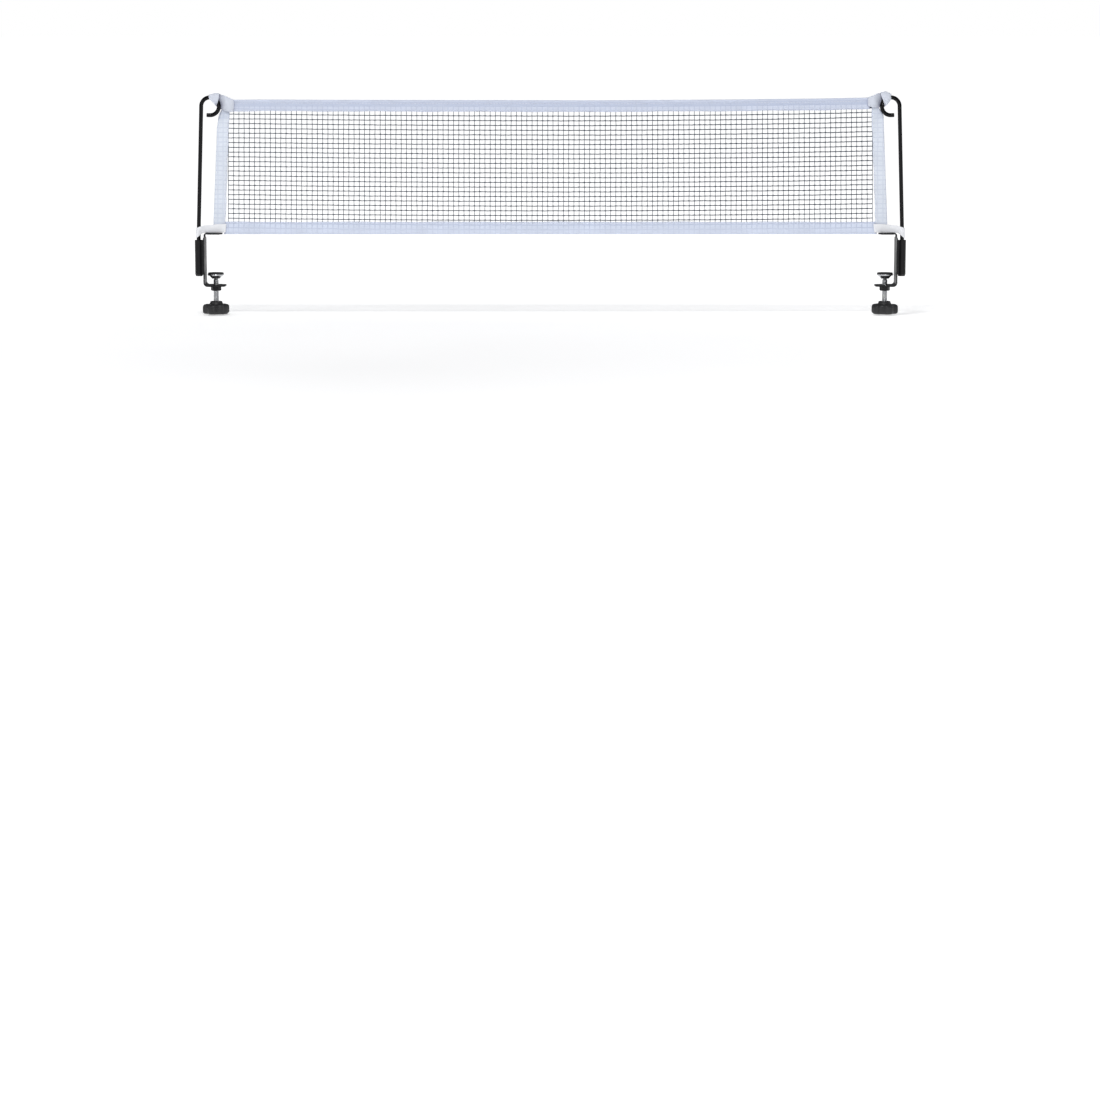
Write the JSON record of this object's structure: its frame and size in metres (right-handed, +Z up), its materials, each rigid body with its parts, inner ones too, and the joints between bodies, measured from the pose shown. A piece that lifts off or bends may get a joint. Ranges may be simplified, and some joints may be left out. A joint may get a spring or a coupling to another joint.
{
  "type": "table tennis net with clamp-on posts",
  "caption": "Taped mesh net hung between two hooked wire posts, each standing in a small under-edge screw clamp for a compact table tennis table.",
  "frame": {"origin": "middle of the net's bottom edge, on the table's playing surface", "axes": "+X along the net to the right-hand post, +Y along the table away from the viewer, +Z up"},
  "size_m": [0.7856, 0.03, 0.2423],
  "materials": {
    "netting": "woven mesh of dark grey synthetic cord",
    "tape": "thin plain-woven white tape, faintly bluish, slightly see-through",
    "cord": "twisted white cord",
    "ribbon": "thin white woven ribbon",
    "post_paint": "black satin paint on drawn steel wire",
    "clamp_paint": "black powder coat on bent steel strip",
    "pad_felt": "thin black felt",
    "plug_plastic": "black polyethylene",
    "zinc_steel": "bright zinc-plated steel",
    "pad_rubber": "black rubber",
    "knob_plastic": "black moulded plastic, fine texture",
    "cap_plastic": "smooth black plastic"
  },
  "bodies": {
    "clamp_frames": {"left_clamp_frame": "clamp_paint", "left_jaw_pad": "pad_felt", "left_post_socket": "clamp_paint", "left_socket_plug": "plug_plastic", "left_weld_nut": "clamp_paint", "right_clamp_frame": "clamp_paint", "right_jaw_pad": "pad_felt", "right_post_socket": "clamp_paint", "right_socket_plug": "plug_plastic", "right_weld_nut": "clamp_paint"},
    "net_and_posts": {"net_mesh": "netting", "top_tape": "tape", "bottom_tape": "tape", "left_side_tape": "tape", "right_side_tape": "tape", "top_cord": "cord", "left_top_tie": "ribbon", "left_bottom_loop": "ribbon", "left_wire_post": "post_paint", "right_top_tie": "ribbon", "right_bottom_loop": "ribbon", "right_wire_post": "post_paint"},
    "left_foot": {"left_pressure_foot": "zinc_steel", "left_foot_pad": "pad_rubber"},
    "left_screw": {"left_clamp_screw": "zinc_steel", "left_knob": "knob_plastic", "left_knob_cap": "cap_plastic"},
    "right_foot": {"right_pressure_foot": "zinc_steel", "right_foot_pad": "pad_rubber"},
    "right_screw": {"right_clamp_screw": "zinc_steel", "right_knob": "knob_plastic", "right_knob_cap": "cap_plastic"}
  },
  "joints": [
    {"name": "posts_lift", "type": "slide", "parent": "clamp_frames", "child": "net_and_posts", "axis": [0, 0, 1], "range_m": [0, 0.044]},
    {"name": "left_foot_travel", "type": "slide", "parent": "clamp_frames", "child": "left_foot", "axis": [0, 0, 1], "range_m": [-0.006, 0.01]},
    {"name": "left_screw_turn", "type": "hinge", "parent": "left_foot", "child": "left_screw", "pos_m": [-0.37, -0.0034, -0.07], "axis": [0, 0, 1], "range_deg": [-2160, 3600]},
    {"name": "right_foot_travel", "type": "slide", "parent": "clamp_frames", "child": "right_foot", "axis": [0, 0, 1], "range_m": [-0.006, 0.01]},
    {"name": "right_screw_turn", "type": "hinge", "parent": "right_foot", "child": "right_screw", "pos_m": [0.37, -0.0034, -0.07], "axis": [0, 0, 1], "range_deg": [-2160, 3600]}
  ],
  "couplings": [
    {"joint": "left_foot_travel", "follows": "left_screw_turn", "m_per_rad": 0.00015915},
    {"joint": "right_foot_travel", "follows": "right_screw_turn", "m_per_rad": 0.00015915}
  ]
}
